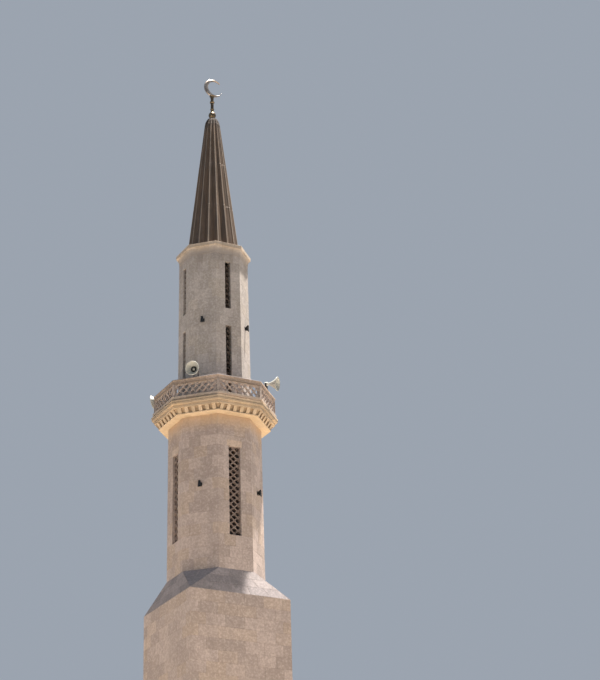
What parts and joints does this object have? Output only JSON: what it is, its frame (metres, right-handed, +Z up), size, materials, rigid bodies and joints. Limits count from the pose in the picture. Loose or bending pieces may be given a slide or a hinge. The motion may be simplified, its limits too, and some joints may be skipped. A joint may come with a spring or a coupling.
{
  "type": "minaret",
  "caption": "Octagonal stone minaret on a square base, with slot windows, a corbelled balcony with pierced parapet, horn loudspeakers, and a pleated metal spire with a crescent.",
  "frame": {"origin": "middle of the square base's bottom face, at ground level", "axes": "+Z up, -Y the front face with slot windows, +X to the right seen from the front"},
  "size_m": [3.7694, 3.7694, 37.4109],
  "materials": {
    "shaft_stone": "sawn limestone blocks",
    "pale_stone": "smooth pale limestone",
    "carved_stone": "pierced limestone, soiled brown",
    "rail_stone": "brownish smooth stone",
    "brown_metal": "satin brown sheet",
    "brass": "polished, a little dull",
    "horn_paint": "satin off-white paint",
    "lamp_paint": "black paint",
    "door_wood": "dark oiled boards"
  },
  "bodies": {
    "root": {"ground_floor": "shaft_stone", "base_wall_front": "shaft_stone", "base_wall_right": "shaft_stone", "base_wall_back": "shaft_stone", "base_wall_left": "shaft_stone", "octagon_transition": "shaft_stone", "lower_shaft": "shaft_stone", "upper_shaft": "shaft_stone", "balcony_soffit": "pale_stone", "dentil_course": "pale_stone", "balcony_slab": "pale_stone", "upper_cornice": "pale_stone", "parapet_rail": "rail_stone", "parapet_panel_front": "carved_stone", "parapet_panel_front_right": "carved_stone", "parapet_panel_right": "carved_stone", "parapet_panel_back_right": "carved_stone", "parapet_panel_back": "carved_stone", "parapet_panel_back_left": "carved_stone", "parapet_panel_left": "carved_stone", "parapet_panel_front_left": "carved_stone", "lower_grille_front": "carved_stone", "upper_grille_front": "carved_stone", "lower_grille_right": "carved_stone", "upper_grille_right": "carved_stone", "lower_grille_back": "carved_stone", "upper_grille_back": "carved_stone", "lower_grille_left": "carved_stone", "upper_grille_left": "carved_stone", "middle_grille_front": "carved_stone", "middle_grille_right": "carved_stone", "middle_grille_left": "carved_stone", "entrance_door": "door_wood", "balcony_door": "door_wood", "spire": "brown_metal", "finial_stem": "brass", "crescent": "brass", "horn_front_right": "horn_paint", "lower_floodlight_front_right": "lamp_paint", "upper_floodlight_front_right": "lamp_paint", "horn_back_right": "horn_paint", "lower_floodlight_back_right": "lamp_paint", "upper_floodlight_back_right": "lamp_paint", "horn_back_left": "horn_paint", "lower_floodlight_back_left": "lamp_paint", "upper_floodlight_back_left": "lamp_paint", "horn_front_left": "horn_paint", "lower_floodlight_front_left": "lamp_paint", "upper_floodlight_front_left": "lamp_paint"}
  },
  "joints": []
}
